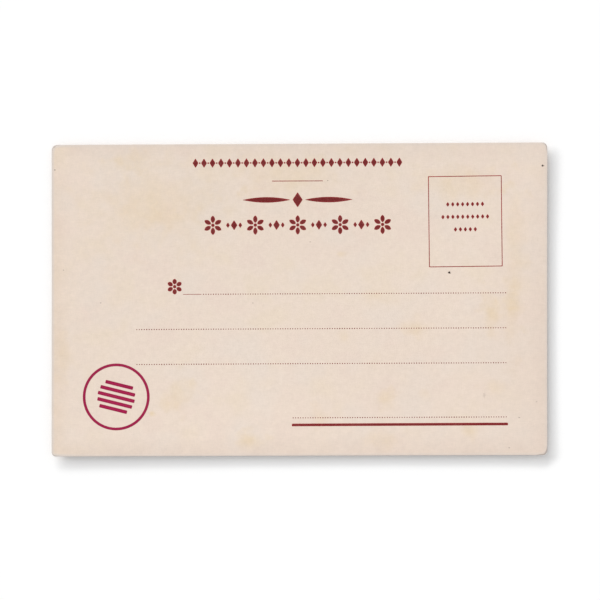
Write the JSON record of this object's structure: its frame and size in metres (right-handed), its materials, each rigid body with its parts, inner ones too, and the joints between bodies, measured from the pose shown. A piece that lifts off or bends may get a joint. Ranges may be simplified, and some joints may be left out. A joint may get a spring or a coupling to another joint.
{
  "type": "postcard",
  "caption": "Old postcard, address side up: stiff pasted card with worn corners, printed heading ornaments, stamp frame, dotted address lines, a heavy rule and a ring handstamp.",
  "frame": {"origin": "middle of the underside, in the plane that the card rests on", "axes": "+X along the card's length to the right of the address side, +Y towards its top edge, +Z out of the address side"},
  "size_m": [0.14, 0.0886, 0.0004],
  "materials": {
    "sheet_paper": "matt uncoated, toned cream pink with age",
    "core_paper": "matt grey-buff pasteboard, seen at the cut edge only",
    "paste": "dried flour paste, soaked into the paper",
    "printing_ink": "matt oil-based letterpress ink, dark maroon",
    "handstamp_ink": "matt dye ink, magenta"
  },
  "bodies": {
    "root": {"message_sheet": "sheet_paper", "lower_paste_film": "paste", "core_board": "core_paper", "upper_paste_film": "paste", "address_sheet": "sheet_paper", "heading_border": "printing_ink", "heading_hairline": "printing_ink", "heading_swelled_rule": "printing_ink", "heading_rosettes": "printing_ink", "stamp_frame": "printing_ink", "stamp_place_ornament": "printing_ink", "address_mark": "printing_ink", "address_lead_line": "printing_ink", "address_line_1": "printing_ink", "address_line_2": "printing_ink", "address_line_3": "printing_ink", "destination_line": "printing_ink", "destination_rule": "printing_ink", "handstamp_ring": "handstamp_ink", "handstamp_bars": "handstamp_ink"}
  },
  "joints": []
}
